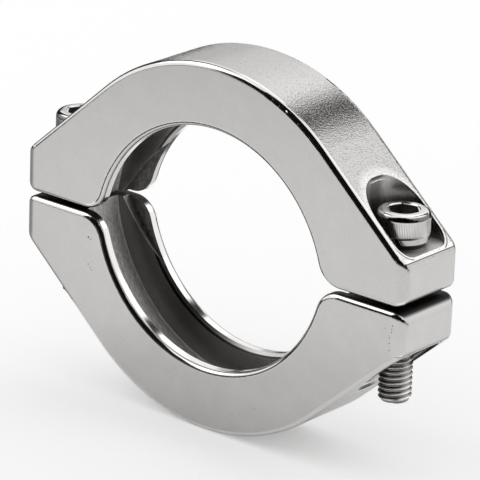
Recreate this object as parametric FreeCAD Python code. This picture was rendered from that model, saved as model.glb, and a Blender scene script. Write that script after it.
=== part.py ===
import FreeCAD, Part
import math
import os

from FreeCAD import Vector

os.makedirs("parts", exist_ok=True)

# Two-piece flange clamp, in millimetres.
# X runs across the two lugs, Y along the bore with the front face at -Y, Z up along the screws.
# The origin is the centre of the bore, half-way between the two split faces.

# Bore, V-groove and rim, turned about one centre that lies beyond the split
lip_radius = 26.0
groove_depth = 6.0
rim_wall = 5.9
arc_centre_drop = 3.45
groove_root_cheek = 4.15
groove_flank_angle = 15.0
groove_mouth_depth = 1.0
groove_mouth_angle = 32.0

# Cast halves
thickness = 15.7
split_gap = 0.9
end_draft_angle = 2.5
shoulder_height = 8.2
shoulder_corner_radius = 2.5
end_corner_radius = 2.6
bore_corner_radius = 5.0
plan_corner_radius = 2.6
face_edge_radius = 1.0

# Cast relief where the groove runs out at the split, bowed outwards and fading out in the bore
relief_cheek = 2.1
relief_root_wall = 6.7
relief_run_out_height = 12.0
relief_bow = 0.75

# Cap screws, M6 x 1
screw_beyond_groove = 5.4
end_beyond_screw = 7.0
thread_diameter = 6.0
head_diameter = 9.6
head_height = 4.2
head_top_radius = 0.9
head_foot_chamfer = 0.2
screw_length = 31.4
tip_chamfer = 0.9
socket_width = 5.0
socket_depth = 2.6
socket_countersink = 0.15
socket_turn = {"left": 8.0, "right": 14.3}

# Split lock washers
washer_thickness = 1.15
washer_inset = 0.1
washer_edge_chamfer = 0.12
washer_slot_width = 0.6
washer_slot_lean = 30.0
washer_slot_bearing = {"left": 205.0, "right": -63.0}

# Screw pockets sunk into the shoulders, each with a raised seat for the washer
pocket_floor_height = 8.95
pocket_side_wall = 1.5
pocket_inner_corner_share = 0.92
pocket_outer_corner_share = 0.42
pocket_draft_angle = 1.0
pocket_rim_radius = 0.18
pocket_rim_share = 0.9
seat_height = 10.2
seat_inset = 0.7

# Clearances
pocket_inner_clearance = 1.4
pocket_outer_clearance = 0.8
screw_hole_clearance = 0.3
thread_clearance = 0.05
washer_bore_clearance = 0.3

# How far a cutter runs past the metal, and how close counts as touching
overshoot = 5.0
touching = 0.01

groove_root_radius = lip_radius + groove_depth
groove_mouth_radius = lip_radius + groove_mouth_depth
groove_root_half_width = thickness / 2.0 - groove_root_cheek
rim_radius = groove_root_radius + rim_wall
split_face_height = split_gap / 2.0
screw_x = groove_root_radius + screw_beyond_groove
end_half_width = screw_x + end_beyond_screw
thread_radius = thread_diameter / 2.0
head_radius = head_diameter / 2.0
washer_radius = head_radius - washer_inset
seat_radius = washer_radius - seat_inset
head_foot_height = seat_height + washer_thickness


def end_face_x(height):
    """Half width of a casting at a height, on the drafted end face."""
    return end_half_width - height * math.tan(math.radians(end_draft_angle))


def rim_tangent_point():
    """Where the straight shoulder meets the outer arc, on the right-hand side."""
    shoulder_x = end_face_x(shoulder_height)
    rise = shoulder_height + arc_centre_drop
    bearing = math.atan2(rise, shoulder_x) + math.acos(rim_radius / math.hypot(shoulder_x, rise))
    x = rim_radius * math.cos(bearing)
    z = rim_radius * math.sin(bearing) - arc_centre_drop
    return x, z


def in_front_view(x, z):
    """A point of the front view, on the middle plane of the clamp."""
    return Vector(x, 0.0, z)


def rounded_corner(before, corner, after, radius):
    """Start, middle and finish of the arc that rounds a corner between two straight lines."""
    corner = Vector(*corner)
    back = (Vector(*before) - corner).normalize()
    ahead = (Vector(*after) - corner).normalize()
    half_angle = back.getAngle(ahead) / 2.0
    setback = radius / math.tan(half_angle)
    bisector = (back + ahead).normalize()
    middle = corner + bisector * (radius / math.sin(half_angle) - radius)
    return corner + back * setback, middle, corner + ahead * setback


def bore_corner():
    """The arc from the split face into the bore, on the right-hand side."""
    centre_z = split_face_height + bore_corner_radius
    reach = lip_radius + bore_corner_radius
    centre_x = math.sqrt(reach ** 2 - (centre_z + arc_centre_drop) ** 2)
    centre = in_front_view(centre_x, centre_z)
    bore_centre = in_front_view(0.0, -arc_centre_drop)
    towards_bore = (bore_centre - centre).normalize()
    finish = centre + towards_bore * bore_corner_radius
    downwards = Vector(0.0, 0.0, -1.0)
    middle = centre + (towards_bore + downwards).normalize() * bore_corner_radius
    return in_front_view(centre_x, split_face_height), middle, finish


def mirrored(points):
    """The same points on the left-hand side, in the opposite order."""
    return [Vector(-p.x, p.y, p.z) for p in reversed(points)]


def casting_outline():
    """Front view of the upper casting: split face, drafted ends, shoulders, rim and bore."""
    tangent = in_front_view(*rim_tangent_point())
    shoulder = in_front_view(end_face_x(shoulder_height), shoulder_height)
    foot = in_front_view(end_face_x(split_face_height), split_face_height)
    bore = bore_corner()
    shoulder_arc = rounded_corner(tangent, shoulder, foot, shoulder_corner_radius)
    foot_arc = rounded_corner(shoulder, foot, bore[0], end_corner_radius)
    rim_top = in_front_view(0.0, rim_radius - arc_centre_drop)
    bore_top = in_front_view(0.0, lip_radius - arc_centre_drop)
    edges = []
    for turn in (lambda points: points, mirrored):
        for arc in (shoulder_arc, foot_arc, bore):
            edges.append(Part.Arc(*turn(arc)).toShape())
        for ends in ((tangent, shoulder_arc[0]), (shoulder_arc[2], foot_arc[0]), (foot_arc[2], bore[0])):
            edges.append(Part.LineSegment(*turn(ends)).toShape())
    edges.append(Part.Arc(bore[2], bore_top, mirrored(bore)[0]).toShape())
    edges.append(Part.Arc(tangent, rim_top, mirrored([tangent])[0]).toShape())
    return Part.Wire(Part.__sortEdges__(edges))


def plan_envelope():
    """Plan view of the casting as a block, with the upright corners of the ends rounded."""
    length = 2.0 * end_half_width
    height = rim_radius + overshoot
    block = Part.makeBox(length, thickness, height, Vector(-end_half_width, -thickness / 2.0, 0.0))
    uprights = [edge for edge in block.Edges if abs(edge.BoundBox.ZLength - height) < touching]
    return block.makeFillet(plan_corner_radius, uprights)


def blank_casting():
    """The upper casting before any pocket or groove, with every outside edge rounded."""
    face = Part.Face(casting_outline())
    body = face.extrude(Vector(0.0, thickness, 0.0))
    body.translate(Vector(0.0, -thickness / 2.0, 0.0))
    body = body.common(plan_envelope()).removeSplitter()
    side_y = thickness / 2.0
    rims = []
    for edge in body.Edges:
        box = edge.BoundBox
        if box.YLength < touching and abs(abs(box.YMax) - side_y) < touching:
            rims.append(edge)
    return body.makeFillet(face_edge_radius, rims)


def turned_about_bore(points):
    """A ring turned from (radius, y) points about the common centre of lip and rim."""
    ring = [Vector(radius, y, -arc_centre_drop) for radius, y in points]
    face = Part.Face(Part.makePolygon(ring + ring[:1]))
    return face.revolve(Vector(0.0, 0.0, -arc_centre_drop), Vector(0.0, 1.0, 0.0), 360.0)


def groove_cutter():
    """The V-groove: flat root, 15 degree flanks, and a steeper mouth that breaks the lip edge."""
    flank_rise = (groove_root_radius - groove_mouth_radius) * math.tan(math.radians(groove_flank_angle))
    mouth_half_width = groove_root_half_width + flank_rise
    throat_radius = lip_radius - face_edge_radius
    mouth_rise = (groove_mouth_radius - throat_radius) * math.tan(math.radians(groove_mouth_angle))
    throat_half_width = mouth_half_width + mouth_rise
    profile = [
        (throat_radius, -throat_half_width),
        (groove_mouth_radius, -mouth_half_width),
        (groove_root_radius, -groove_root_half_width),
        (groove_root_radius, groove_root_half_width),
        (groove_mouth_radius, mouth_half_width),
        (throat_radius, throat_half_width),
    ]
    return turned_about_bore(profile)


def relief_cutter(side):
    """Cast relief at one end of the groove: a bowed recess in both flanks that fades out in the bore."""
    half_width = thickness / 2.0 - relief_cheek
    run_out_drop = relief_run_out_height + arc_centre_drop
    run_out_x = math.sqrt((lip_radius - touching) ** 2 - run_out_drop ** 2)
    root = Vector(side * (screw_x - relief_root_wall), -half_width, 0.0)
    run_out = Vector(side * run_out_x, -half_width, relief_run_out_height)
    inner = Vector(side * (lip_radius - bore_corner_radius), -half_width, 0.0)
    chord = run_out - root
    outwards = Vector(side * chord.z, 0.0, side * -chord.x).normalize()
    middle = (root + run_out) / 2.0 + outwards * relief_bow
    edges = [
        Part.Arc(root, middle, run_out).toShape(),
        Part.LineSegment(run_out, inner).toShape(),
        Part.LineSegment(inner, root).toShape(),
    ]
    return Part.Face(Part.Wire(edges)).extrude(Vector(0.0, 2.0 * half_width, 0.0))


def pocket_plan(side, height):
    """Plan outline of a screw pocket at a height, wider further up by its draft."""
    growth = (height - pocket_floor_height) * math.tan(math.radians(pocket_draft_angle))
    inner = -(head_radius + pocket_inner_clearance + growth)
    outer = head_radius + pocket_outer_clearance + growth
    floor_half_width = thickness / 2.0 - pocket_side_wall
    half = floor_half_width + growth
    inner_radius = floor_half_width * pocket_inner_corner_share
    outer_radius = floor_half_width * pocket_outer_corner_share
    diagonal = math.sqrt(0.5)

    def at(x, y):
        return Vector(side * (screw_x + x), y, height)

    def corner(x, y, radius, x_way, y_way):
        start = at(x, y - y_way * radius)
        middle = at(x - x_way * radius * (1.0 - diagonal), y - y_way * radius * (1.0 - diagonal))
        finish = at(x - x_way * radius, y)
        return start, middle, finish

    near_inner = corner(inner, -half, inner_radius, -1, -1)
    near_outer = corner(outer, -half, outer_radius, 1, -1)
    far_outer = corner(outer, half, outer_radius, 1, 1)
    far_inner = corner(inner, half, inner_radius, -1, 1)
    edges = [
        Part.Arc(*near_inner).toShape(),
        Part.LineSegment(near_inner[2], near_outer[2]).toShape(),
        Part.Arc(near_outer[2], near_outer[1], near_outer[0]).toShape(),
        Part.LineSegment(near_outer[0], far_outer[0]).toShape(),
        Part.Arc(*far_outer).toShape(),
        Part.LineSegment(far_outer[2], far_inner[2]).toShape(),
        Part.Arc(far_inner[2], far_inner[1], far_inner[0]).toShape(),
        Part.LineSegment(far_inner[0], near_inner[0]).toShape(),
    ]
    return Part.Wire(edges)


def pocket_cutter(side):
    """A drafted pocket that leaves a round seat for the washer standing on its floor."""
    top_height = rim_radius
    wires = [pocket_plan(side, pocket_floor_height), pocket_plan(side, top_height)]
    pocket = Part.makeLoft(wires, True, True)
    seat_rise = seat_height - pocket_floor_height
    seat = Part.makeCylinder(seat_radius, seat_rise, Vector(side * screw_x, 0.0, pocket_floor_height))
    return pocket.cut(seat)


def shoulder_surface_height(x):
    """Height of the straight shoulder at a distance from the middle of the clamp."""
    tangent_x, tangent_z = rim_tangent_point()
    shoulder_x = end_face_x(shoulder_height)
    share = (shoulder_x - x) / (shoulder_x - tangent_x)
    return shoulder_height + share * (tangent_z - shoulder_height)


def rim_radius_limit():
    """Largest rim radius that the land beside the screw and the low sill at the outer end leave room for."""
    rise = shoulder_surface_height(screw_x) - pocket_floor_height
    land = pocket_side_wall - face_edge_radius - rise * math.tan(math.radians(pocket_draft_angle))
    outer_wall_x = screw_x + head_radius + pocket_outer_clearance
    sill = shoulder_surface_height(outer_wall_x) - pocket_floor_height
    steepness = shoulder_surface_height(0.0) - shoulder_surface_height(1.0)
    sill_room = sill * math.tan(math.atan2(1.0, steepness) / 2.0)
    return pocket_rim_share * (min(land, sill_room) if sill > touching else land)


def round_pocket_rims(casting, pockets):
    """Break the sharp rim where each pocket comes out through the shoulder, as far as it has room."""
    radius = min(pocket_rim_radius, rim_radius_limit())
    rims = []
    for edge in casting.Edges:
        middle = edge.valueAt((edge.FirstParameter + edge.LastParameter) / 2.0)
        on_wall = any(pocket.distToShape(Part.Vertex(middle))[0] < touching for pocket in pockets)
        above_floor = edge.BoundBox.ZMin > pocket_floor_height + touching
        clear_of_seat = math.hypot(abs(middle.x) - screw_x, middle.y) > seat_radius + touching
        if on_wall and above_floor and clear_of_seat and not is_wall_seam(edge):
            rims.append(edge)
    return casting.makeFillet(radius, rims)


def is_wall_seam(edge):
    """True for the nearly upright seams between the walls of a pocket."""
    box = edge.BoundBox
    steepest_rim = 3.0
    return box.ZLength > steepest_rim * (box.XLength + box.YLength)


def casting(hole_radius):
    """The upper casting with its groove, reliefs, pockets and screw holes."""
    body = blank_casting()
    body = body.cut(groove_cutter())
    pockets = [pocket_cutter(side) for side in (-1, 1)]
    for side, pocket in zip((-1, 1), pockets):
        body = body.cut(relief_cutter(side))
        body = body.cut(pocket)
    body = round_pocket_rims(body, pockets)
    for side in (-1, 1):
        hole = Part.makeCylinder(hole_radius, seat_height + overshoot, Vector(side * screw_x, 0.0, 0.0))
        body = body.cut(hole)
    return body


def upper_half():
    """The half that the screws pass through with clearance."""
    return casting(thread_radius + screw_hole_clearance)


def lower_half():
    """The same casting turned over, with tapped holes instead of clearance holes."""
    half = casting(thread_radius + thread_clearance)
    half.rotate(Vector(0.0, 0.0, 0.0), Vector(1.0, 0.0, 0.0), 180.0)
    return half


def socket_cutter(turn):
    """Hexagon socket with a small countersink, sunk from the top of the head at z = 0."""
    corner_radius = socket_width / 2.0 / math.cos(math.radians(30.0))
    corners = []
    for step in range(6):
        bearing = math.radians(turn + 60.0 * step)
        corners.append(Vector(corner_radius * math.cos(bearing), corner_radius * math.sin(bearing), 0.0))
    hexagon = Part.Face(Part.makePolygon(corners + corners[:1]))
    socket = hexagon.extrude(Vector(0.0, 0.0, -socket_depth))
    cone_top = corner_radius + socket_countersink / 2.0
    cone = Part.makeCone(cone_top - socket_countersink, cone_top, socket_countersink)
    cone.translate(Vector(0.0, 0.0, -socket_countersink))
    return socket.fuse(cone)


def cap_screw(side_name, side):
    """A cap screw in place: rounded head, hexagon socket and a plain shank of the thread's size."""
    head = Part.makeCylinder(head_radius, head_height)
    top_rim = [edge for edge in head.Edges if edge.BoundBox.ZMin > head_height - touching]
    head = head.makeFillet(head_top_radius, top_rim)
    foot_rim = [edge for edge in head.Edges if edge.BoundBox.ZMax < touching]
    head = head.makeChamfer(head_foot_chamfer, foot_rim)
    cutter = socket_cutter(socket_turn[side_name])
    cutter.translate(Vector(0.0, 0.0, head_height))
    head = head.cut(cutter)
    shank = Part.makeCylinder(thread_radius, screw_length, Vector(0.0, 0.0, -screw_length))
    tip_rim = [edge for edge in shank.Edges if edge.BoundBox.ZMax < -screw_length + touching]
    shank = shank.makeChamfer(tip_chamfer, tip_rim)
    screw = head.fuse(shank).removeSplitter()
    screw.translate(Vector(side * screw_x, 0.0, head_foot_height))
    return screw


def lock_washer(side_name, side):
    """A split lock washer, pressed flat between the seat and the screw head."""
    ring = Part.makeCylinder(washer_radius, washer_thickness)
    ring = ring.cut(Part.makeCylinder(thread_radius + washer_bore_clearance, washer_thickness))
    rims = [edge for edge in ring.Edges if edge.BoundBox.ZLength < touching]
    ring = ring.makeChamfer(washer_edge_chamfer, rims)
    length = washer_radius + overshoot
    height = washer_thickness + 2.0 * overshoot
    slot = Part.makeBox(length, washer_slot_width, height, Vector(0.0, -washer_slot_width / 2.0, -height / 2.0))
    slot.rotate(Vector(0.0, 0.0, 0.0), Vector(1.0, 0.0, 0.0), washer_slot_lean)
    slot.translate(Vector(0.0, 0.0, washer_thickness / 2.0))
    slot.rotate(Vector(0.0, 0.0, 0.0), Vector(0.0, 0.0, 1.0), washer_slot_bearing[side_name])
    washer = ring.cut(slot)
    washer.translate(Vector(side * screw_x, 0.0, seat_height))
    return washer


parts = {
    "lower_half": lower_half(),
    "upper_half": upper_half(),
}
for side_name, side in (("left", -1), ("right", 1)):
    parts[side_name + "_screw"] = cap_screw(side_name, side)
    parts[side_name + "_lock_washer"] = lock_washer(side_name, side)

for name, shape in parts.items():
    shape.exportStep("parts/" + name + ".step")
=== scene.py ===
"""Looks for a bolted vacuum flange clamp: satin cast halves, cap screws and lock washers.

Every length of the clamp is in millimetres, as on a drawing, and is turned into metres when a mesh
is made. X runs across the two lugs, Y along the bore and Z up along the screws. Only the studio's
lamps and cards are placed in metres. Angles are in degrees.
"""

import logging
import math
from dataclasses import dataclass, field
from enum import Enum
from functools import reduce

import bmesh
import bpy
from mathutils import Matrix, Vector


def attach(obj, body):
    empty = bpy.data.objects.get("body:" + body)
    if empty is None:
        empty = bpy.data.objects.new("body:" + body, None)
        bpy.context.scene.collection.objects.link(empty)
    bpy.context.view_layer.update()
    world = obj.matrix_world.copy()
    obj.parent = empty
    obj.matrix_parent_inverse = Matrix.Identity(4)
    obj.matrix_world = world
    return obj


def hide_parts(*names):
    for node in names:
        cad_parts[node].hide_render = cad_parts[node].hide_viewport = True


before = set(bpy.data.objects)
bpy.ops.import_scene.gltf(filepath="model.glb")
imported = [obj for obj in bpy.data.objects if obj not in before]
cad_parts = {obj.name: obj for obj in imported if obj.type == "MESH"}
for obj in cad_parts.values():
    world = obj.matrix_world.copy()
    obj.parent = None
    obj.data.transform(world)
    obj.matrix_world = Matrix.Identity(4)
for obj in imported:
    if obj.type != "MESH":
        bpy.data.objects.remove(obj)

Socket = bpy.types.NodeSocket
Material = bpy.types.Material
Rgba = tuple[float, float, float, float]
Value = Socket | float | tuple[float, ...]
Band = tuple[float, float]

LOG = logging.getLogger("flange_clamp")
MM = 0.001
MERGE_DISTANCE = 0.0005
SHARP_ANGLE = 32.0
THREAD_DEPTH_RATIO = 0.5413
ORIGIN = (0.0, 0.0, 0.0)
UPWARDS = (0.0, 0.0, 1.0)
CARD_LEVEL = 0.008
MAT_HEIGHT = -0.034
NEAR_MAT_HEIGHT = -0.0344
MAT_INNER = 0.055
MAT_OUTER = 0.3


class Place(Enum):
    """A place on the clamp, whose name is used in the names of the parts."""

    @property
    def word(self) -> str:
        """Return the place's name as the parts use it."""
        return self.name.lower()


class Side(Place):
    """The two lugs of the clamp, by the sign of their X."""

    LEFT = -1
    RIGHT = 1


class Half(Place):
    """The two castings, by the sign of their Z."""

    LOWER = -1
    UPPER = 1


SOCKET_TURNS = {Side.LEFT: 8.0, Side.RIGHT: 14.3}


@dataclass(frozen=True)
class Grain:
    """The size of a noise pattern's grain, and how many finer layers it has and how strong they are."""

    size: float
    detail: float = 2.0
    roughness: float = 0.5


@dataclass(frozen=True)
class Tone:
    """The brightness and roughness of one kind of metal surface, or of light or shade painted on it."""

    level: float
    roughness: float
    warmth: float = 0.045

    @property
    def color(self) -> Rgba:
        """Return the colour: a grey that is a little warm, as stainless steel is."""
        return (self.level, self.level * (1.0 - self.warmth / 2.0), self.level * (1.0 - self.warmth), 1.0)


@dataclass(frozen=True)
class Layer:
    """One kind of surface, or a patch of painted light or shade: the mask that is 1 on it, and its tone."""

    mask: Socket
    tone: Tone


class Graph:
    """A small helper that adds and joins the nodes of one material or world."""

    def __init__(self, owner: Material | bpy.types.World) -> None:
        """Start with no nodes.

        Args:
            owner: The material or world that gets the nodes.
        """
        owner.use_nodes = True
        self.owner = owner
        self.tree = owner.node_tree
        self.tree.nodes.clear()

    def node(self, kind: str, **settings: object) -> bpy.types.Node:
        """Add a node and set its properties.

        Args:
            kind: The node's type name.
            **settings: Properties of the node.

        Returns:
            The new node.
        """
        made = self.tree.nodes.new(kind)
        for key, value in settings.items():
            setattr(made, key, value)
        return made

    def feed(self, socket: Socket, value: Value) -> None:
        """Join a socket to another, or give it a plain value.

        Args:
            socket: The input socket.
            value: An output socket, a number or a tuple.
        """
        if isinstance(value, Socket):
            self.tree.links.new(value, socket)
        else:
            socket.default_value = value

    def math(self, operation: str, first: Value, second: Value = 0.0, third: Value = 0.0) -> Socket:
        """Add a Math node.

        Args:
            operation: The operation's name.
            first: First value or socket.
            second: Second value or socket.
            third: Third value or socket.

        Returns:
            The result.
        """
        made = self.node("ShaderNodeMath", operation=operation)
        for socket, value in zip(made.inputs, (first, second, third)):
            self.feed(socket, value)
        return made.outputs[0]

    def length(self, first: Value, second: Value) -> Socket:
        """Return the length of the flat vector that has these two parts."""
        square = self.math("MULTIPLY_ADD", first, first, self.math("MULTIPLY", second, second))
        return self.math("SQRT", square)

    def step(self, value: Value, low: float, high: float) -> Socket:
        """Add a smooth step from 0 at one value to 1 at another.

        Args:
            value: The socket that is tested.
            low: Where the result is 0.
            high: Where the result is 1.

        Returns:
            The result.
        """
        made = self.node("ShaderNodeMapRange", interpolation_type="SMOOTHSTEP")
        self.feed(made.inputs["Value"], value)
        self.feed(made.inputs["From Min"], low)
        self.feed(made.inputs["From Max"], high)
        return made.outputs["Result"]

    def falling(self, value: Value, low: float, high: float) -> Socket:
        """Return a smooth step that falls from 1 at the low value to 0 at the high one."""
        return self.math("SUBTRACT", 1.0, self.step(value, low, high))

    def near(self, value: Value, middle: float, close: float, far: float) -> Socket:
        """Return 1 up to a close distance from a middle value, falling to 0 at a far one."""
        off = self.math("ABSOLUTE", self.math("SUBTRACT", value, middle))
        return self.falling(off, close, far)

    def all_of(self, *masks: Socket) -> Socket:
        """Return the product of some masks, which is 1 where all of them are."""
        return reduce(lambda first, second: self.math("MULTIPLY", first, second), masks)

    def any_of(self, *masks: Socket) -> Socket:
        """Return the largest of some masks, which is 1 where any of them is."""
        return reduce(lambda first, second: self.math("MAXIMUM", first, second), masks)

    def mix(self, kind: str, sockets: tuple[int, int, int], values: tuple[Value, ...]) -> Socket:
        """Add a Mix node.

        Args:
            kind: The type of what is blended.
            sockets: Which inputs get the two values, and which output has the result.
            values: The factor and the two values.

        Returns:
            The result.
        """
        made = self.node("ShaderNodeMix", data_type=kind)
        for index, value in zip((0, *sockets[:2]), values):
            self.feed(made.inputs[index], value)
        return made.outputs[sockets[2]]

    def blend(self, factor: Value, first: Value, second: Value) -> Socket:
        """Blend two numbers, where a factor of 0 gives the first and 1 the second."""
        return self.mix("FLOAT", (2, 3, 0), (factor, first, second))

    def tint(self, factor: Value, first: Value, second: Value) -> Socket:
        """Blend two colours, where a factor of 0 gives the first and 1 the second."""
        return self.mix("RGBA", (6, 7, 2), (factor, first, second))

    def painted(self, color: Value, roughness: Value, layers: list[Layer]) -> tuple[Socket, Socket]:
        """Paint layers over a colour and a roughness.

        Args:
            color: The colour below the layers.
            roughness: The roughness below the layers.
            layers: The layers, from the lowest to the top one.

        Returns:
            The colour and the roughness with all layers on.
        """
        for layer in layers:
            color = self.tint(layer.mask, color, layer.tone.color)
            roughness = self.blend(layer.mask, roughness, layer.tone.roughness)
        return color, roughness

    def noise(self, vector: Value, grain: Grain) -> Socket:
        """Add a noise pattern.

        Args:
            vector: The coordinates, in millimetres.
            grain: The pattern's grain.

        Returns:
            The noise, from 0 to 1.
        """
        made = self.node("ShaderNodeTexNoise")
        self.feed(made.inputs["Vector"], vector)
        self.feed(made.inputs["Scale"], 1.0 / grain.size)
        self.feed(made.inputs["Detail"], grain.detail)
        self.feed(made.inputs["Roughness"], grain.roughness)
        return made.outputs["Fac"]

    def place(self) -> tuple[Socket, Socket]:
        """Read where a point of the piece is, and which way it faces.

        Returns:
            The object coordinates in millimetres, and the object's own normal.
        """
        coordinates = self.node("ShaderNodeTexCoord")
        scaled = self.node("ShaderNodeVectorMath", operation="SCALE")
        self.feed(scaled.inputs[0], coordinates.outputs["Object"])
        self.feed(scaled.inputs["Scale"], 1.0 / MM)
        return scaled.outputs["Vector"], coordinates.outputs["Normal"]

    def split(self, vector: Value) -> tuple[Socket, Socket, Socket]:
        """Return the X, Y and Z of a vector."""
        made = self.node("ShaderNodeSeparateXYZ")
        self.feed(made.inputs[0], vector)
        return made.outputs[0], made.outputs[1], made.outputs[2]

    def bump(self, height: Value, depth: float, below: Socket | None = None) -> Socket:
        """Turn a height pattern into a bumped normal.

        Args:
            height: The pattern, from 0 to 1.
            depth: Height of the pattern in millimetres.
            below: A normal that is bumped already, if there is one.

        Returns:
            The bumped normal.
        """
        made = self.node("ShaderNodeBump")
        self.feed(made.inputs["Height"], height)
        self.feed(made.inputs["Distance"], depth * MM)
        self.feed(made.inputs["Strength"], 1.0)
        if below is not None:
            self.feed(made.inputs["Normal"], below)
        return made.outputs["Normal"]

    def surface(self, shader: Socket) -> Material:
        """Make a shader the surface of the material, and return the material."""
        output = self.node("ShaderNodeOutputMaterial")
        self.feed(output.inputs["Surface"], shader)
        return self.owner

    def metal(self, color: Value, roughness: Value, normal: Value) -> Material:
        """Finish the material as bare metal.

        Args:
            color: Base colour.
            roughness: Roughness.
            normal: Bumped normal.

        Returns:
            The material.
        """
        shader = self.node("ShaderNodeBsdfPrincipled")
        self.feed(shader.inputs["Metallic"], 1.0)
        self.feed(shader.inputs["Base Color"], color)
        self.feed(shader.inputs["Roughness"], roughness)
        self.feed(shader.inputs["Normal"], normal)
        return self.surface(shader.outputs["BSDF"])

    def seen_directly(self) -> Socket:
        """Return 1 for camera, glossy and transmission rays, and 0 for the others."""
        rays = self.node("ShaderNodeLightPath").outputs
        return self.any_of(rays["Is Camera Ray"], rays["Is Glossy Ray"], rays["Is Transmission Ray"])


class Spot:
    """Where a point of a casting is and which way it faces, as sockets of a material."""

    def __init__(self, graph: Graph, arc_centre_drop: float) -> None:
        """Read the point and its normal, with both halves and both ends folded into one.

        Args:
            graph: The material being made.
            arc_centre_drop: How far the bore's centre lies beyond the split, in millimetres.
        """
        self.point, normal = graph.place()
        self.x, self.y, self.z = graph.split(self.point)
        tilt, facing, rise = graph.split(normal)
        self.across = graph.math("ABSOLUTE", self.x)
        self.aside = graph.math("ABSOLUTE", self.y)
        self.height = graph.math("ABSOLUTE", self.z)
        self.tilt = graph.math("ABSOLUTE", tilt)
        self.facing = graph.math("ABSOLUTE", facing)
        self.steep = graph.math("ABSOLUTE", rise)
        self.rise = graph.math("MULTIPLY", rise, graph.math("SIGN", self.z))
        drop = graph.math("ADD", self.height, arc_centre_drop)
        self.radius = graph.length(drop, self.x)


@dataclass(frozen=True)
class ScrewSize:
    """Sizes of the M6 x 1 cap screw, which its mesh, its finish and the castings' finish share."""

    axis_x: float = 37.4
    foot_height: float = 11.35
    thread_radius: float = 3.0
    pitch: float = 1.0
    length: float = 31.4
    tip_round: float = 1.2
    head_radius: float = 4.8
    head_height: float = 4.2
    crown_radius: float = 1.15
    foot_chamfer: float = 0.2
    ridge_count: int = 104
    ridge_depth: float = 0.07
    socket_width: float = 5.0
    socket_depth: float = 2.6
    drill_cone: float = 0.6
    countersink: float = 0.15


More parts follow.
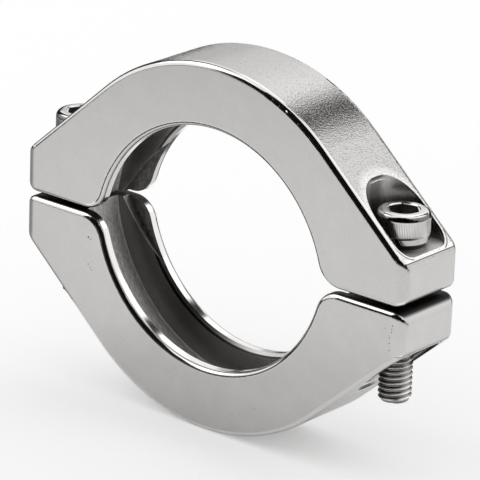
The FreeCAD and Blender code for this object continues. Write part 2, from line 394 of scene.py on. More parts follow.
@dataclass(frozen=True)
class CastFinish:
    """Tumbled cast steel: satin faces, polished edges, a rough cast groove, and light and shade painted in
    and round the pockets, the groove and the split.

    The sizes repeat those of the castings, so each finish stays on its own surface. A Band holds the
    two values between which a mask fades in or out. The numbers beside tilt, facing, rise and steep
    are parts of the unit normal.
    """

    face: Tone = Tone(0.63, 0.3)
    pale_face: Tone = Tone(0.66, 0.3)
    skin: Tone = Tone(0.55, 0.14)
    edge: Tone = Tone(0.82, 0.1)
    lip: Tone = Tone(0.88, 0.14)
    # painted highlight: a pale band round the pocket rims, standing in for light caught by the rounded rim
    rim_highlight: Tone = Tone(0.82, 0.24)
    root: Tone = Tone(0.72, 0.38, 0.05)
    relief: Tone = Tone(0.5, 0.36, 0.05)
    # painted shade: the groove's back flank is made dark
    flank: Tone = Tone(0.3, 0.25)
    # painted shade: the groove's mouth is made near black; the cast stains borrow this colour
    mouth_shade: Tone = Tone(0.05, 0.3)
    # painted shade: the pocket walls are made dark as though in shadow
    pocket_wall_shade: Tone = Tone(0.22, 0.3, 0.09)
    # painted light: the inside of each pocket, floor and seat, is made pale as though lit
    lit_pocket_floor: Tone = Tone(0.95, 0.6, 0.05)
    # painted shadow under the washers and painted shade at the split; the casting pits borrow this colour
    shadow_and_pit: Tone = Tone(0.04, 0.5)
    # painted dark lines of reflection along rims and edges; the dark speckle grain borrows this colour
    line: Tone = Tone(0.09, 0.4)
    # painted highlight: pale lines along the relief's brink and the groove's seam
    painted_highlight: Tone = Tone(0.95, 0.55)

    cloud: Grain = Grain(4.5, 4.0, 0.6)
    speckle: Grain = Grain(0.3, 3.0, 0.65)
    fine: Grain = Grain(0.13, 1.0)
    sparkle: Grain = Grain(0.3, 2.0)
    lumps: Grain = Grain(0.5, 4.0, 0.65)
    drag: Grain = Grain(0.38, 4.0, 0.65)
    drag_stretch: tuple[float, float, float] = (0.35, 1.6, 0.35)
    speckle_depth: float = 0.011
    sparkle_depth: float = 0.034
    lump_depth: float = 0.07

    arc_centre_drop: float = 3.45
    lip_radius: float = 26.0
    root_radius: float = 32.0
    root_half_width: float = 3.7
    flank_slope: float = 0.268
    relief_half_width: float = 5.75
    seat_radius: float = 4.0
    pocket_middle: float = 37.1
    pocket_half_length: float = 5.9
    pocket_half_width: float = 6.35
    pocket_inner_corner: float = 5.84
    pocket_outer_corner: float = 2.67
    pocket_floor_height: float = 8.95
    pocket_draft: float = 0.0175
    gap_foot: float = 9.15
    slope_normal: tuple[float, float] = (0.6626, 0.749)
    slope_reach: float = 35.35
    end_line_height: float = 8.5
    rim_glint_depth: float = 0.62
    outer_line_distance: float = 0.5
    pit_plane: float = -6.65

    upward: Band = (0.3, 0.5)
    sideways: Band = (0.5, 0.7)
    edge_aside: Band = (6.7, 6.95)
    end_across: Band = (41.3, 41.8)
    end_line_across: Band = (41.5, 41.9)
    sill_across: Band = (42.9, 43.05)
    outer_line_across: Band = (40.2, 41.2)
    skin_radius: Band = (34.0, 34.5)
    halo_distance: Band = (0.15, 1.9)
    rim_line_depth: Band = (0.22, 0.4)
    root_aside: Band = (3.72, 3.8)
    seam_radius: Band = (31.6, 31.8)
    relief_side_foot: Band = (3.75, 3.85)
    relief_side_top: Band = (5.68, 5.74)
    relief_side_height: Band = (12.2, 12.5)
    brink_height: Band = (0.12, 0.3)
    mouth_foot: Band = (26.5, 26.62)
    mouth_top: Band = (27.0, 27.15)
    bore_radius: Band = (26.1, 26.3)
    strip_aside: Band = (5.72, 5.78)
    strip_radius: Band = (31.3, 31.6)
    lip_line_radius: Band = (27.2, 27.5)
    parting_height: Band = (1.2, 1.9)
    pits: tuple[tuple[float, float, float], ...] = (
        (-28.2, -4.9, 0.22), (-27.6, -5.1, 0.14), (-28.1, -10.1, 0.16), (-27.3, -11.0, 0.13),
        (-27.7, -10.6, 0.11), (42.1, -2.8, 0.15), (42.0, -3.4, 0.12), (41.95, -4.0, 0.14),
        (41.6, -5.1, 0.13), (41.6, -6.1, 0.14), (41.65, -7.4, 0.12), (40.6, -3.6, 0.1),
        (12.3, -26.9, 0.1),
    )

    def edge_mask(self, graph: Graph, spot: Spot) -> Socket:
        """Return 1 on the rounded edges of the front and back faces, but not on the ends' uprights."""
        outer = graph.step(spot.aside, *self.edge_aside)
        turned = graph.falling(spot.facing, 0.975, 0.998)
        at_end = graph.step(spot.across, *self.end_across)
        upright = graph.all_of(at_end, graph.falling(spot.steep, 0.12, 0.32))
        return graph.all_of(outer, turned, graph.math("SUBTRACT", 1.0, upright))

    def skin_mask(self, graph: Graph, spot: Spot) -> Socket:
        """Return 1 on the outer skin, which faces away from the split and lies outside the groove."""
        outside = graph.step(spot.radius, *self.skin_radius)
        return graph.all_of(graph.step(spot.rise, *self.upward), outside)

    def pocket_distance(self, graph: Graph, spot: Spot) -> Socket:
        """Return how far a point is outside a screw pocket in plan, less than 0 inside it."""
        along = graph.math("SUBTRACT", spot.across, self.pocket_middle)
        outer_part = graph.math("GREATER_THAN", along, 0.0)
        corner = graph.blend(outer_part, self.pocket_inner_corner, self.pocket_outer_corner)
        past_x = graph.math("SUBTRACT", graph.math("ABSOLUTE", along), self.pocket_half_length)
        past_x = graph.math("ADD", past_x, corner)
        past_y = graph.math("ADD", graph.math("SUBTRACT", spot.aside, self.pocket_half_width), corner)
        outside = graph.length(graph.math("MAXIMUM", past_x, 0.0), graph.math("MAXIMUM", past_y, 0.0))
        inside = graph.math("MINIMUM", graph.math("MAXIMUM", past_x, past_y), 0.0)
        distance = graph.math("SUBTRACT", graph.math("ADD", outside, inside), corner)
        above_floor = graph.math("SUBTRACT", spot.height, self.pocket_floor_height)
        growth = graph.math("MULTIPLY", above_floor, self.pocket_draft)
        return graph.math("SUBTRACT", distance, growth)

    def slope_depth(self, graph: Graph, spot: Spot) -> Socket:
        """Return how far a point lies below the plane of the lug's outer slope."""
        lean_x = graph.math("MULTIPLY", spot.across, self.slope_normal[0])
        rest = graph.math("SUBTRACT", self.slope_reach, lean_x)
        return graph.math("MULTIPLY_ADD", spot.height, -self.slope_normal[1], rest)

    def pocket_layers(self, graph: Graph, spot: Spot) -> dict[str, Layer]:
        """Find the surfaces in and round the screw pockets, with light and shade painted on: a highlight
        round the rims and just under them, a pale floor as though lit, shaded walls, a shadow under the
        washers and dark lines along the rims.

        Args:
            graph: The material being made.
            spot: Where the point is.

        Returns:
            The layers by name, from the lowest to the top one.
        """
        distance = self.pocket_distance(graph, spot)
        upper = graph.step(spot.height, self.pocket_floor_height - 0.3, self.pocket_floor_height - 0.1)
        inside = graph.all_of(graph.falling(distance, 0.0, 0.06), upper)
        from_screw = graph.length(graph.math("SUBTRACT", spot.across, ScrewSize.axis_x), spot.y)
        at_seat = graph.falling(from_screw, self.seat_radius + 0.2, self.seat_radius + 0.7)
        # painted highlight on the skin round each pocket's rim
        rim_highlight = graph.all_of(
            self.skin_mask(graph, spot), graph.step(distance, 0.02, 0.1),
            graph.falling(distance, *self.halo_distance), upper
        )
        sill = graph.all_of(
            graph.step(spot.across, *self.sill_across),
            graph.step(spot.height, self.end_line_height, self.end_line_height + 0.08),
            graph.step(distance, 0.0, 0.05),
        )
        # painted shade on the steep walls inside each pocket
        wall = graph.all_of(inside, graph.falling(spot.rise, 0.5, 0.8))
        depth = self.slope_depth(graph, spot)
        # painted reflection: a dark line along the pocket wall just under the rim
        rim_line = graph.all_of(wall, graph.falling(depth, *self.rim_line_depth))
        # painted highlight: a glint along the pocket wall just under the rim
        rim_glint = graph.all_of(wall, graph.near(depth, self.rim_glint_depth, 0.06, 0.14))
        # painted reflection: a dark line on the skin outside each pocket's rim
        outer_line = graph.all_of(
            graph.near(distance, self.outer_line_distance, 0.05, 0.12),
            graph.step(spot.across, *self.outer_line_across),
            upper,
        )
        # painted shadow: the seat's side under each washer is made near black
        above_gap = graph.step(spot.height, self.gap_foot, self.gap_foot + 0.15)
        return {
            "rim_highlight": Layer(rim_highlight, self.rim_highlight),
            "sill": Layer(sill, self.edge),
            # painted light over the whole inside of the pocket; the walls are painted over it below
            "lit_pocket_floor": Layer(inside, self.lit_pocket_floor),
            "pocket_wall_shade": Layer(wall, self.pocket_wall_shade),
            "rim_glint": Layer(rim_glint, self.rim_highlight),
            "gap_shadow": Layer(graph.all_of(inside, at_seat, above_gap), self.shadow_and_pit),
            "rim_line": Layer(rim_line, self.line),
            "outer_line": Layer(outer_line, self.line),
        }

    def groove_layers(self, graph: Graph, spot: Spot) -> dict[str, Layer]:
        """Find the surfaces of the groove, its reliefs and the lips beside it, with shade painted on the
        flank and the mouth and highlights painted along the brink and the seam.

        Args:
            graph: The material being made.
            spot: Where the point is.

        Returns:
            The layers by name, from the lowest to the top one.
        """
        inner = graph.falling(spot.radius, self.root_radius + 0.3, self.root_radius + 0.6)
        inside = graph.falling(spot.aside, self.relief_half_width + 0.1, self.relief_half_width + 0.2)
        deep = graph.step(spot.radius, self.lip_radius + 0.95, self.lip_radius + 1.1)
        not_skin = graph.falling(spot.rise, *self.upward)
        root = graph.all_of(
            graph.falling(spot.facing, 0.3, 0.5), graph.falling(spot.aside, *self.root_aside), inner, not_skin
        )
        # painted shade on the groove's flank
        flank = graph.all_of(graph.step(spot.facing, *self.sideways), inside, deep, inner)
        at_relief = graph.near(spot.aside, self.relief_half_width, 0.04, 0.12)
        relief = graph.all_of(graph.step(spot.facing, 0.985, 0.995), at_relief, inner)
        relief_side = graph.all_of(
            graph.falling(spot.facing, 0.4, 0.6), graph.step(spot.aside, *self.relief_side_foot),
            inside, inner, graph.falling(spot.height, *self.relief_side_height),
            graph.falling(spot.aside, *self.relief_side_top)
        )
        above_root = graph.math("SUBTRACT", self.root_radius, spot.radius)
        flank_aside = graph.math("MULTIPLY_ADD", above_root, self.flank_slope, self.root_half_width)
        above_flank = graph.math("SUBTRACT", spot.aside, flank_aside)
        # painted highlight along the brink of the relief and along the groove's seam
        brink = graph.all_of(relief_side, graph.falling(above_flank, *self.brink_height))
        at_seam = graph.near(spot.aside, self.root_half_width, 0.05, 0.14)
        seam = graph.all_of(at_seam, graph.step(spot.radius, *self.seam_radius), inner)
        # painted shade in the mouth of the groove
        mouth_shade = graph.all_of(
            graph.near(spot.facing, 0.85, 0.06, 0.1), graph.falling(spot.radius, *self.mouth_top),
            inside, graph.step(spot.radius, *self.mouth_foot)
        )
        strip = graph.all_of(
            graph.falling(spot.facing, 0.55, 0.75), graph.step(spot.aside, *self.strip_aside),
            graph.falling(spot.radius, *self.strip_radius), not_skin
        )
        at_bore = graph.falling(spot.radius, *self.bore_radius)
        bore = graph.all_of(graph.falling(spot.facing, *self.sideways), at_bore)
        return {
            "root": Layer(root, self.root),
            "flank": Layer(flank, self.flank),
            "relief": Layer(relief, self.relief),
            "relief_side": Layer(relief_side, self.relief),
            "mouth_shade": Layer(mouth_shade, self.mouth_shade),
            "brink": Layer(brink, self.painted_highlight),
            "seam": Layer(seam, self.painted_highlight),
            "lip": Layer(graph.any_of(strip, bore), self.lip),
        }

    def pitted(self, graph: Graph, spot: Spot) -> Socket:
        """Mark the few casting pits on the front face.

        Args:
            graph: The material being made.
            spot: Where the point is.

        Returns:
            1 inside a pit and 0 elsewhere.
        """
        dents = []
        for pit_x, pit_z, size in self.pits:
            across = graph.math("SUBTRACT", spot.x, pit_x)
            along = graph.math("SUBTRACT", spot.z, pit_z)
            square = graph.math("MULTIPLY_ADD", across, across, graph.math("MULTIPLY", along, along))
            dents.append(graph.falling(square, 0.3 * size * size, size * size))
        front = graph.math("LESS_THAN", spot.y, self.pit_plane)
        return graph.all_of(graph.any_of(*dents), front)

    def build(self) -> Material:
        """Make the material.

        Returns:
            The finished material.
        """
        graph = Graph(bpy.data.materials.new("satin_cast_steel"))
        spot = Spot(graph, self.arc_centre_drop)
        cloud = graph.noise(spot.point, self.cloud)
        speckle = graph.noise(spot.point, self.speckle)
        streaks = graph.node("ShaderNodeVectorMath", operation="MULTIPLY")
        graph.feed(streaks.inputs[0], spot.point)
        graph.feed(streaks.inputs[1], self.drag_stretch)
        drag = graph.noise(streaks.outputs["Vector"], self.drag)
        groove = self.groove_layers(graph, spot)
        pocket = self.pocket_layers(graph, spot)
        skin = graph.all_of(self.skin_mask(graph, spot), graph.falling(spot.facing, 0.2, 0.5))
        edge = self.edge_mask(graph, spot)
        # painted reflection: a ragged dark line along the polished edge at the bore lip
        ragged = graph.math("MULTIPLY_ADD", speckle, 0.06, spot.facing)
        at_line = graph.near(ragged, 0.968, 0.03, 0.05)
        lip_line = graph.all_of(at_line, graph.falling(spot.radius, *self.lip_line_radius), edge)
        # painted shade: the faces and edges that turn toward the split are made near black
        toward_split = graph.math("SUBTRACT", graph.math("MULTIPLY", spot.tilt, 0.25), spot.rise)
        at_split = graph.falling(spot.height, *self.parting_height)
        parting_shade = graph.all_of(graph.step(toward_split, 0.75, 0.96), at_split)
        # painted reflection: a dark line along the end faces at the shoulder's height
        end_line = graph.all_of(
            graph.near(spot.height, self.end_line_height, 0.04, 0.1),
            graph.step(spot.across, *self.end_line_across),
            graph.step(spot.tilt, 0.35, 0.6),
        )
        color = graph.tint(graph.step(cloud, 0.35, 0.7), self.face.color, self.pale_face.color)
        roughness = graph.blend(cloud, self.face.roughness - 0.03, self.face.roughness + 0.03)
        layers = [
            Layer(skin, self.skin),
            *groove.values(),
            *pocket.values(),
            Layer(edge, self.edge),
            Layer(lip_line, self.line),
            Layer(parting_shade, self.shadow_and_pit),
            Layer(end_line, self.line),
        ]
        color, roughness = graph.painted(color, roughness, layers)

        raw = graph.any_of(groove["root"].mask, groove["relief"].mask, groove["relief_side"].mask)
        coarse = graph.any_of(skin, pocket["pocket_wall_shade"].mask)
        polished = graph.any_of(edge, groove["lip"].mask)
        unpolished = graph.falling(polished, 0.1, 0.9)
        dark_grain = graph.all_of(
            graph.falling(speckle, 0.25, 0.45), graph.blend(coarse, 0.2, 0.8), unpolished
        )
        color = graph.tint(dark_grain, color, self.line.color)
        stain = graph.all_of(raw, graph.falling(drag, 0.38, 0.62))
        # the stains are real marks on the raw cast; they darken towards the painted mouth shade's colour
        color = graph.tint(stain, color, graph.tint(0.45, color, self.mouth_shade.color))
        color = graph.tint(self.pitted(graph, spot), color, self.shadow_and_pit.color)

        fine = graph.math("MULTIPLY", graph.noise(spot.point, self.fine), 0.6)
        grainy = graph.all_of(graph.math("ADD", speckle, fine), graph.falling(polished, -0.06, 1.0))
        bumped = graph.bump(grainy, self.speckle_depth)
        sparkle = graph.all_of(graph.noise(spot.point, self.sparkle), coarse, unpolished)
        bumped = graph.bump(sparkle, self.sparkle_depth, bumped)
        lumpy = graph.math("ADD", graph.noise(spot.point, self.lumps), drag)
        bumped = graph.bump(graph.all_of(lumpy, raw), self.lump_depth, bumped)
        return graph.metal(color, roughness, bumped)


@dataclass(frozen=True)
class ScrewFinish:
    """Rolled and turned stainless steel of a cap screw, with shade painted dark into its socket, the knurl's
    valleys and the thread's roots.
    """

    bare: Tone = Tone(0.74, 0.2)
    worn: Tone = Tone(0.68, 0.26)
    ring: Tone = Tone(0.85, 0.14)
    crown: Tone = Tone(0.8, 0.13)
    # painted shade: the thread's roots are made dark
    thread: Tone = Tone(0.3, 0.3)
    shade: Tone = Tone(0.2, 0.16)
    # painted shade: the hex socket is made dark
    socket: Tone = Tone(0.3, 0.3)
    # painted shade: the valleys of the knurl are made dark
    knurl: Tone = Tone(0.44, 0.33)
    wear: Grain = Grain(2.6, 3.0)
    fine: Grain = Grain(0.11, 2.0, 0.6)
    fine_depth: float = 0.003
    mouth_radius: float = 3.0
    size: ScrewSize = ScrewSize()

    def layers(self, graph: Graph, point: Socket, normal: Socket) -> list[Layer]:
        """Find the surfaces of the screw, with shade painted into the socket, the knurl's valleys and the
        thread's roots, and a painted dark band on the crown.

        Args:
            graph: The material being made.
            point: The object coordinates in millimetres.
            normal: The object's own normal.

        Returns:
            The layers, from the lowest to the top one.
        """
        size = self.size
        head_top = size.foot_height + size.head_height
        crown_foot = head_top - size.crown_radius
        crown_start = size.head_radius - size.crown_radius
        x, y, z = graph.split(point)
        rise = graph.split(normal)[2]
        reach = graph.length(graph.math("SUBTRACT", graph.math("ABSOLUTE", x), size.axis_x), y)
        head = graph.step(z, size.foot_height - 0.1, size.foot_height)
        shank = graph.falling(z, size.foot_height - 0.1, size.foot_height)
        # painted shade in the roots of the thread
        in_thread = graph.falling(reach, size.thread_radius - 0.3, size.thread_radius - 0.12)
        # painted shade inside the hex socket
        in_socket = graph.falling(reach, self.mouth_radius + 0.02, self.mouth_radius + 0.05)
        socket = graph.all_of(in_socket, graph.falling(z, head_top - 0.2, head_top - 0.14), head)
        ring = graph.all_of(
            graph.falling(reach, self.mouth_radius - 0.02, self.mouth_radius + 0.04), head,
            graph.step(z, head_top - 0.18, head_top - 0.13)
        )
        above_foot = graph.step(z, crown_foot, crown_foot + 0.1)
        crown = graph.all_of(above_foot, head, graph.step(reach, crown_start, crown_start + 0.2))
        shade = graph.all_of(crown, graph.falling(z, head_top - 0.42, head_top - 0.24))
        # painted shade in the valleys of the knurl
        knurl = graph.all_of(
            graph.falling(reach, size.head_radius - 0.065, size.head_radius - 0.03), head,
            graph.step(reach, size.head_radius - 0.2, size.head_radius - 0.15),
            graph.near(rise, 0.0, 0.1, 0.3)
        )
        return [
            Layer(crown, self.crown),
            Layer(shade, self.shade),
            Layer(knurl, self.knurl),
            Layer(graph.all_of(shank, in_thread), self.thread),
            Layer(socket, self.socket),
            Layer(ring, self.ring),
        ]

    def build(self) -> Material:
        """Make the material.

        Returns:
            The finished material.
        """
        graph = Graph(bpy.data.materials.new("rolled_stainless_steel"))
        point, normal = graph.place()
        wear = graph.step(graph.noise(point, self.wear), 0.4, 0.65)
        color = graph.tint(wear, self.bare.color, self.worn.color)
        roughness = graph.blend(wear, self.bare.roughness, self.worn.roughness)
        color, roughness = graph.painted(color, roughness, self.layers(graph, point, normal))
        return graph.metal(color, roughness, graph.bump(graph.noise(point, self.fine), self.fine_depth))


@dataclass(frozen=True)
class WasherFinish:
    """Tumbled spring steel of a lock washer."""

    bare: Tone = Tone(0.62, 0.2)
    shade: Tone = Tone(0.52, 0.3)
    cloud: Grain = Grain(0.9, 3.0)
    fine: Grain = Grain(0.1, 2.0, 0.6)
    fine_depth: float = 0.003

    def build(self) -> Material:
        """Make the material.

        Returns:
            The finished material.
        """
        graph = Graph(bpy.data.materials.new("tumbled_spring_steel"))
        point, _ = graph.place()
        cloud = graph.noise(point, self.cloud)
        color = graph.tint(cloud, self.bare.color, self.shade.color)
        roughness = graph.blend(cloud, self.bare.roughness, self.shade.roughness)
        return graph.metal(color, roughness, graph.bump(graph.noise(point, self.fine), self.fine_depth))


def placed(name: str, data: bpy.types.ID) -> bpy.types.Object:
    """Put a new object into the scene.

    Args:
        name: The object's name.
        data: Its mesh, light or camera.

    Returns:
        The object.
    """
    made = bpy.data.objects.new(name, data)
    bpy.context.scene.collection.objects.link(made)
    return made


def finished(bm: bmesh.types.BMesh, name: str, material: Material) -> bpy.types.Object:
    """Turn a bmesh in millimetres into a piece in metres.

    Args:
        bm: The mesh, which is freed.
        name: The piece's name.
        material: Its finish.

    Returns:
        The new object, linked to the scene.
    """
    bmesh.ops.remove_doubles(bm, verts=bm.verts, dist=MERGE_DISTANCE)
    bmesh.ops.recalc_face_normals(bm, faces=bm.faces)
    bmesh.ops.scale(bm, vec=(MM, MM, MM), verts=bm.verts)
    mesh = bpy.data.meshes.new(name)
    bm.to_mesh(mesh)
    bm.free()
    mesh.shade_smooth()
    mesh.set_sharp_from_angle(angle=math.radians(SHARP_ANGLE))
    mesh.materials.append(material)
    return placed(name, mesh)


def set_reach(vert: bmesh.types.BMVert, reach: float) -> None:
    """Move a vertex straight in or out, until it is at a given distance from the Z axis."""
    factor = reach / math.hypot(vert.co.x, vert.co.y)
    vert.co.x, vert.co.y = vert.co.x * factor, vert.co.y * factor


@dataclass
class PackedPart:
    """A casting or a lock washer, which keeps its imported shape."""

    name: str

    def dress(self, material: Material) -> None:
        """Give the part a finish.

        Args:
            material: The finish.
        """
        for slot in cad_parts[self.name].material_slots:
            slot.material = material
        LOG.info("%s: %s", self.name, material.name)


@dataclass
class CapScrew:
    """A socket head cap screw with a knurled head and a rolled thread."""

    side: Side = Side.RIGHT
    socket_turn: float = 0.0
    size: ScrewSize = ScrewSize()
    steps_per_turn: int = 48
    spare_turns: int = 3
    crown_points: int = 7
    overlap: float = 0.3

    def head_profile(self) -> list[tuple[float, float]]:
        """Return half the section of the head as (radius, height) points."""
        size = self.size
        corner = size.socket_width / 2.0 / math.cos(math.radians(30.0))
        crown_foot = size.head_height - size.crown_radius
        points = [
            (0.0, 0.0),
            (size.head_radius - size.foot_chamfer, 0.0),
            (size.head_radius, size.foot_chamfer),
            (size.head_radius, size.foot_chamfer + 0.25),
            (size.head_radius, crown_foot - 0.15),
        ]
        for index in range(self.crown_points):
            turn = math.radians(90.0 * index / (self.crown_points - 1))
            reach = size.head_radius - size.crown_radius * (1.0 - math.cos(turn))
            points.append((reach, crown_foot + size.crown_radius * math.sin(turn)))
        return points + [
            (corner + size.countersink / 2.0, size.head_height),
            (corner - size.countersink / 2.0, size.head_height - size.countersink),
            (corner, size.head_height - size.countersink - 0.02),
            (corner, size.head_height - size.socket_depth),
            (0.0, size.head_height - size.socket_depth - size.drill_cone),
        ]

    def hexagon_reach(self, bearing: float) -> float:
        """Return how far the socket's wall is from the axis at a bearing in radians."""
        sixth = math.radians(60.0)
        offset = bearing % sixth - sixth / 2.0
        return self.size.socket_width / 2.0 / math.cos(offset)

    def head(self) -> bmesh.types.BMesh:
        """Turn the head's section and press the knurl and the socket into it.

        Returns:
            The head, standing on z = 0, in millimetres.
        """
        size = self.size
        bm = bmesh.new()
        verts = [bm.verts.new((radius, 0.0, height)) for radius, height in self.head_profile()]
        edges = [bm.edges.new(pair) for pair in zip(verts, verts[1:])]
        steps = size.ridge_count * 2
        bmesh.ops.spin(
            bm, geom=verts + edges, cent=ORIGIN, axis=UPWARDS, dvec=ORIGIN, angle=math.radians(360.0),
            steps=steps, use_merge=True, use_duplicate=False
        )
        bmesh.ops.remove_doubles(bm, verts=bm.verts, dist=MERGE_DISTANCE)
        side_foot = size.foot_chamfer + 0.01
        side_top = size.head_height - size.crown_radius - 0.01
        socket_top = size.head_height - size.countersink - 0.01
        socket_limit = size.head_radius - size.crown_radius - 0.2
        for vert in bm.verts:
            radius = math.hypot(vert.co.x, vert.co.y)
            bearing = math.atan2(vert.co.y, vert.co.x)
            on_side = abs(radius - size.head_radius) < 0.001
            if on_side and side_foot < vert.co.z < side_top:
                column = round(bearing / math.radians(360.0 / steps))
                set_reach(vert, size.head_radius - size.ridge_depth * (column % 2))
            elif 1.0 < radius < socket_limit and 1.0 < vert.co.z < socket_top:
                set_reach(vert, self.hexagon_reach(bearing))
        return bm

    def thread(self) -> bmesh.types.BMesh:
        """Wind the thread's section into a helix, cut it to length and round its tip.

        Returns:
            The threaded shank, hanging below z = 0, in millimetres.
        """
        size = self.size
        root = size.thread_radius - THREAD_DEPTH_RATIO * size.pitch
        # One turn as (radius, rise in pitches): the round root, a flank, the crest and a flank.
        shape = [
            (root + 0.03, 0.0), (root, 0.06), (root, 0.19), (root + 0.03, 0.25),
            (size.thread_radius - 0.04, 0.5425), (size.thread_radius, 0.585),
            (size.thread_radius, 0.665), (size.thread_radius - 0.04, 0.7075), (root + 0.03, 1.0),
        ]
        bm = bmesh.new()
        low = -size.length - self.spare_turns / 2.0 * size.pitch
        verts = [bm.verts.new((radius, 0.0, low + rise * size.pitch)) for radius, rise in shape]
        edges = [bm.edges.new(pair) for pair in zip(verts, verts[1:])]
        turns = math.ceil(size.length / size.pitch) + self.spare_turns
        climb = (0.0, 0.0, size.pitch / self.steps_per_turn)
        bmesh.ops.spin(
            bm, geom=verts + edges, cent=ORIGIN, axis=UPWARDS, dvec=climb, angle=math.radians(360.0) * turns,
            steps=self.steps_per_turn * turns, use_merge=False, use_duplicate=False
        )
        bmesh.ops.remove_doubles(bm, verts=bm.verts, dist=0.002)
        for height, way in ((-size.length, -1.0), (self.overlap, 1.0)):
            cut = bmesh.ops.bisect_plane(
                bm, geom=bm.verts[:] + bm.edges[:] + bm.faces[:], dist=0.0001,
                plane_co=(0.0, 0.0, height), plane_no=(0.0, 0.0, way), clear_outer=True
            )
            rim = [item for item in cut["geom_cut"] if isinstance(item, bmesh.types.BMEdge)]
            bmesh.ops.edgeloop_fill(bm, edges=rim)
        for vert in bm.verts:
            down = size.tip_round - (vert.co.z + size.length)
            if down > 0.0:
                bulge = math.sqrt(max(size.tip_round**2 - down**2, 0.0))
                limit = size.thread_radius - size.tip_round + bulge
                if math.hypot(vert.co.x, vert.co.y) > limit:
                    set_reach(vert, limit)
        return bm

    def pattern(self) -> bpy.types.Mesh:
        """Make the mesh that both screws are copied from, with the head's foot at z = 0.

        Returns:
            The mesh, in millimetres.
        """
        bm = self.head()
        shank = self.thread()
        mesh = bpy.data.meshes.new("screw_pattern")
        shank.to_mesh(mesh)
        shank.free()
        bm.from_mesh(mesh)
        bmesh.ops.remove_doubles(bm, verts=bm.verts, dist=MERGE_DISTANCE)
        bm.to_mesh(mesh)
        bm.free()
        return mesh

    def build(self, pattern: bpy.types.Mesh, material: Material) -> bpy.types.Object:
        """Make the screw in place of the plain one.

        Args:
            pattern: The mesh that is copied.
            material: The screw's finish.

        Returns:
            The screw.
        """
        bm = bmesh.new()
        bm.from_mesh(pattern)
        turn = Matrix.Rotation(math.radians(self.socket_turn), 3, "Z")
        bmesh.ops.rotate(bm, cent=ORIGIN, matrix=turn, verts=bm.verts)
        place = Vector((self.side.value * self.size.axis_x, 0.0, self.size.foot_height))
        bmesh.ops.translate(bm, vec=place, verts=bm.verts)
        name = self.side.word + "_screw"
        piece = finished(bm, name + "_threaded", material)
        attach(piece, name)
        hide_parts(name)
        LOG.info("%s: knurled head and rolled thread, %d faces", name, len(piece.data.polygons))
        return piece


def direction(bearing: float, elevation: float) -> Vector:
    """Return the unit vector at a bearing, 0 at the back and positive to the right, and an elevation."""
    turn = math.radians(bearing)
    rise = math.radians(elevation)
    return Vector((math.sin(turn) * math.cos(rise), math.cos(turn) * math.cos(rise), math.sin(rise)))


@dataclass
class Lamp:
    """A soft rectangular lamp of the studio, aimed at the clamp, with its sizes in metres."""

    name: str
    bearing: float
    elevation: float
    distance: float
    width: float
    height: float
    strength: float

    def build(self) -> None:
        """Hang the lamp and turn it to the clamp."""
        way = direction(self.bearing, self.elevation)
        light = bpy.data.lights.new(self.name, "AREA")
        light.shape = "RECTANGLE"
        light.size = self.width
        light.size_y = self.height
        light.energy = self.strength * math.pi * self.width * self.height
        holder = placed(self.name, light)
        holder.location = way * self.distance
        holder.rotation_euler = way.to_track_quat("Z", "Y").to_euler()
        holder.visible_camera = False


@dataclass
class DarkCard:
    """A dark card bent round the clamp, which only reflections show.

    Its section is a straight line from one (distance, height) point to another, in metres.
    """

    name: str
    start_bearing: float
    end_bearing: float
    first: tuple[float, float]
    last: tuple[float, float]
    level: float = CARD_LEVEL
    step_angle: float = 6.0

    def build(self) -> None:
        """Sweep the card round the clamp; bearing 0 is the back, positive to the right."""
        bm = bmesh.new()
        verts = [bm.verts.new((0.0, distance, height)) for distance, height in (self.first, self.last)]
        edge = bm.edges.new(verts)
        start = Matrix.Rotation(-math.radians(self.start_bearing), 3, "Z")
        bmesh.ops.rotate(bm, cent=ORIGIN, matrix=start, verts=verts)
        span = self.end_bearing - self.start_bearing
        steps = max(1, round(span / self.step_angle))
        bmesh.ops.spin(
            bm, geom=verts + [edge], cent=ORIGIN, axis=UPWARDS, dvec=ORIGIN, angle=-math.radians(span),
            steps=steps, use_merge=span >= 360.0, use_duplicate=False
        )
        mesh = bpy.data.meshes.new(self.name)
        bm.to_mesh(mesh)
        bm.free()
        graph = Graph(bpy.data.materials.new(self.name + "_cloth"))
        diffuse = graph.node("ShaderNodeBsdfDiffuse")
        graph.feed(diffuse.inputs["Color"], (self.level, self.level, self.level, 1.0))
        mesh.materials.append(graph.surface(diffuse.outputs[0]))
        card = placed(self.name, mesh)
        card.visible_camera = False
        card.visible_diffuse = False
        card.visible_shadow = False


def leaning(
    name: str, start: float, end: float, low: float, high: float, distance: float, level: float = CARD_LEVEL
) -> DarkCard:
    """Describe a dark card by the elevations of its lower and upper edges.

    Args:
        name: The card's name.
        start: Bearing of its left end.
        end: Bearing of its right end.
        low: Elevation of its lower edge.
        high: Elevation of its upper edge.
        distance: Distance of both edges from the clamp, in metres.
        level: How pale its cloth is.

    Returns:
        The card.
    """
    rises = [math.radians(elevation) for elevation in (low, high)]
    ends = [(distance * math.cos(rise), distance * math.sin(rise)) for rise in rises]
    return DarkCard(name, start, end, ends[0], ends[1], level)


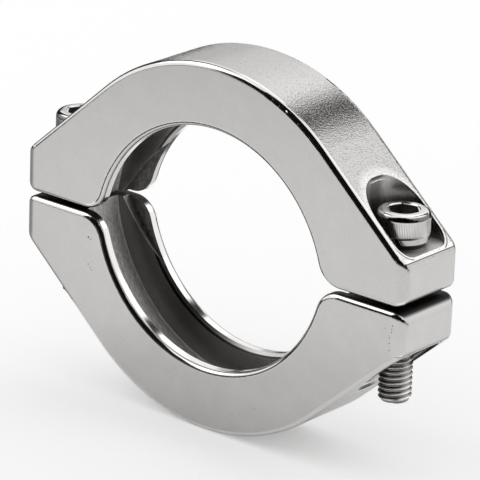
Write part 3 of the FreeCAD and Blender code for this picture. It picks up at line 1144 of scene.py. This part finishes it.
@dataclass
class Studio:
    """White floor, soft lamps, dark cards and the camera, which was fitted to the photograph."""

    floor_height: float = -34.45
    floor_reach: float = 6000.0
    floor_color: Rgba = (0.8, 0.8, 0.8, 1.0)
    floor_lift: float = 0.33
    sky_color: Rgba = (1.0, 1.0, 1.0, 1.0)
    sky_strength: float = 0.72
    camera_yaw: float = 39.36
    camera_pitch: float = 20.06
    camera_roll: float = 2.1
    camera_distance: float = 711.57
    camera_aim: tuple[float, float, float] = (1.13, 0.0, 0.21)
    focal_pixels: float = 3974.5
    frame_pixels: float = 480.0
    sensor: float = 36.0
    lamps: list[Lamp] = field(
        default_factory=lambda: [
            Lamp("lamp_left", -118.0, 42.0, 1.2, 0.9, 0.7, 0.86),
            Lamp("lamp_top", -22.0, 48.0, 1.3, 0.5, 0.5, 0.5),
            Lamp("lamp_right", 27.5, 40.0, 1.3, 0.6, 0.7, 0.34),
        ]
    )
    cards: list[DarkCard] = field(
        default_factory=lambda: [
            DarkCard("card_rail", 58.0, 386.0, (MAT_OUTER, MAT_HEIGHT), (MAT_OUTER, 0.006)),
            leaning("card_back", -6.0, 11.5, 20.0, 62.0, 1.3),
            leaning("card_above", -62.0, -30.0, 4.0, 14.0, 0.9, 0.7),
            leaning("card_left", -76.0, -46.5, -4.0, 20.0, 0.6, 0.05),
            leaning("card_right", -32.0, 13.0, -4.0, 12.0, 0.6, 0.05),
            leaning("card_camera_low", 78.0, 218.0, -4.0, 26.0, 1.0),
            leaning("card_camera", 96.0, 217.0, 24.0, 50.0, 1.0),
            leaning("card_camera_high", 106.0, 204.0, 47.0, 60.0, 1.0),
            leaning("card_overhead", 100.0, 205.0, 58.0, 84.0, 1.0),
            leaning("card_arc", -88.0, -62.0, 4.0, 62.0, 1.2),
            DarkCard("mat_left", -116.0, -46.5, (MAT_INNER, MAT_HEIGHT), (MAT_OUTER, MAT_HEIGHT), 0.4),
            DarkCard("mat_right", -32.0, 16.0, (MAT_INNER, MAT_HEIGHT), (MAT_OUTER, MAT_HEIGHT), 0.12),
            DarkCard("mat_near", 0.0, 360.0, (0.004, NEAR_MAT_HEIGHT), (MAT_INNER, NEAR_MAT_HEIGHT), 0.97),
        ]
    )

    def sky(self) -> None:
        """Set a white room that lights the clamp evenly."""
        world = bpy.data.worlds.new("white_room")
        bpy.context.scene.world = world
        graph = Graph(world)
        background = graph.node("ShaderNodeBackground")
        graph.feed(background.inputs["Color"], self.sky_color)
        strength = graph.blend(graph.seen_directly(), self.sky_strength, 1.0)
        graph.feed(background.inputs["Strength"], strength)
        output = graph.node("ShaderNodeOutputWorld")
        graph.feed(output.inputs["Surface"], background.outputs[0])

    def floor(self) -> None:
        """Lay the white floor, which keeps the clamp's soft shadow."""
        graph = Graph(bpy.data.materials.new("white_floor"))
        diffuse = graph.node("ShaderNodeBsdfDiffuse")
        graph.feed(diffuse.inputs["Color"], self.floor_color)
        glow = graph.node("ShaderNodeEmission")
        graph.feed(glow.inputs["Strength"], graph.math("MULTIPLY", graph.seen_directly(), self.floor_lift))
        both = graph.node("ShaderNodeAddShader")
        graph.feed(both.inputs[0], diffuse.outputs[0])
        graph.feed(both.inputs[1], glow.outputs[0])
        bm = bmesh.new()
        bmesh.ops.create_grid(bm, x_segments=1, y_segments=1, size=self.floor_reach * MM)
        bmesh.ops.translate(bm, vec=(0.0, 0.0, self.floor_height * MM), verts=bm.verts)
        mesh = bpy.data.meshes.new("floor")
        bm.to_mesh(mesh)
        bm.free()
        mesh.materials.append(graph.surface(both.outputs[0]))
        floor = placed("floor", mesh)

    def camera(self) -> None:
        """Stand the camera where the photograph was taken from."""
        forward = direction(-self.camera_yaw, -self.camera_pitch)
        right = direction(90.0 - self.camera_yaw, 0.0)
        up = right.cross(forward)
        roll = math.radians(self.camera_roll)
        right_turned = math.cos(roll) * right + math.sin(roll) * up
        up_turned = math.cos(roll) * up - math.sin(roll) * right
        data = bpy.data.cameras.new("camera")
        data.sensor_width = self.sensor
        data.lens = self.focal_pixels / self.frame_pixels * self.sensor
        data.clip_start = 0.01
        data.clip_end = 50.0
        camera = placed("camera", data)
        turn = Matrix((right_turned, up_turned, -forward)).transposed()
        place = Vector(self.camera_aim) - forward * self.camera_distance
        camera.matrix_world = Matrix.Translation(place * MM) @ turn.to_4x4()
        bpy.context.scene.camera = camera

    def build(self) -> None:
        """Set up the whole studio."""
        self.sky()
        self.floor()
        for lamp in self.lamps:
            lamp.build()
        for card in self.cards:
            card.build()
        self.camera()
        bpy.context.scene.view_settings.view_transform = "Standard"
        LOG.info("studio: floor, %d lamps, %d dark cards and camera", len(self.lamps), len(self.cards))


def main() -> None:
    """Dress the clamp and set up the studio."""
    logging.basicConfig(level=logging.INFO, format="%(name)s: %(message)s")
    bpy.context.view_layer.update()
    cast = CastFinish().build()
    steel = ScrewFinish().build()
    spring = WasherFinish().build()
    for half in Half:
        PackedPart(half.word + "_half").dress(cast)
    pattern = CapScrew().pattern()
    for side in Side:
        PackedPart(side.word + "_lock_washer").dress(spring)
        CapScrew(side, SOCKET_TURNS[side]).build(pattern, steel)
    bpy.data.meshes.remove(pattern)
    Studio().build()


if __name__ == "__main__":
    main()
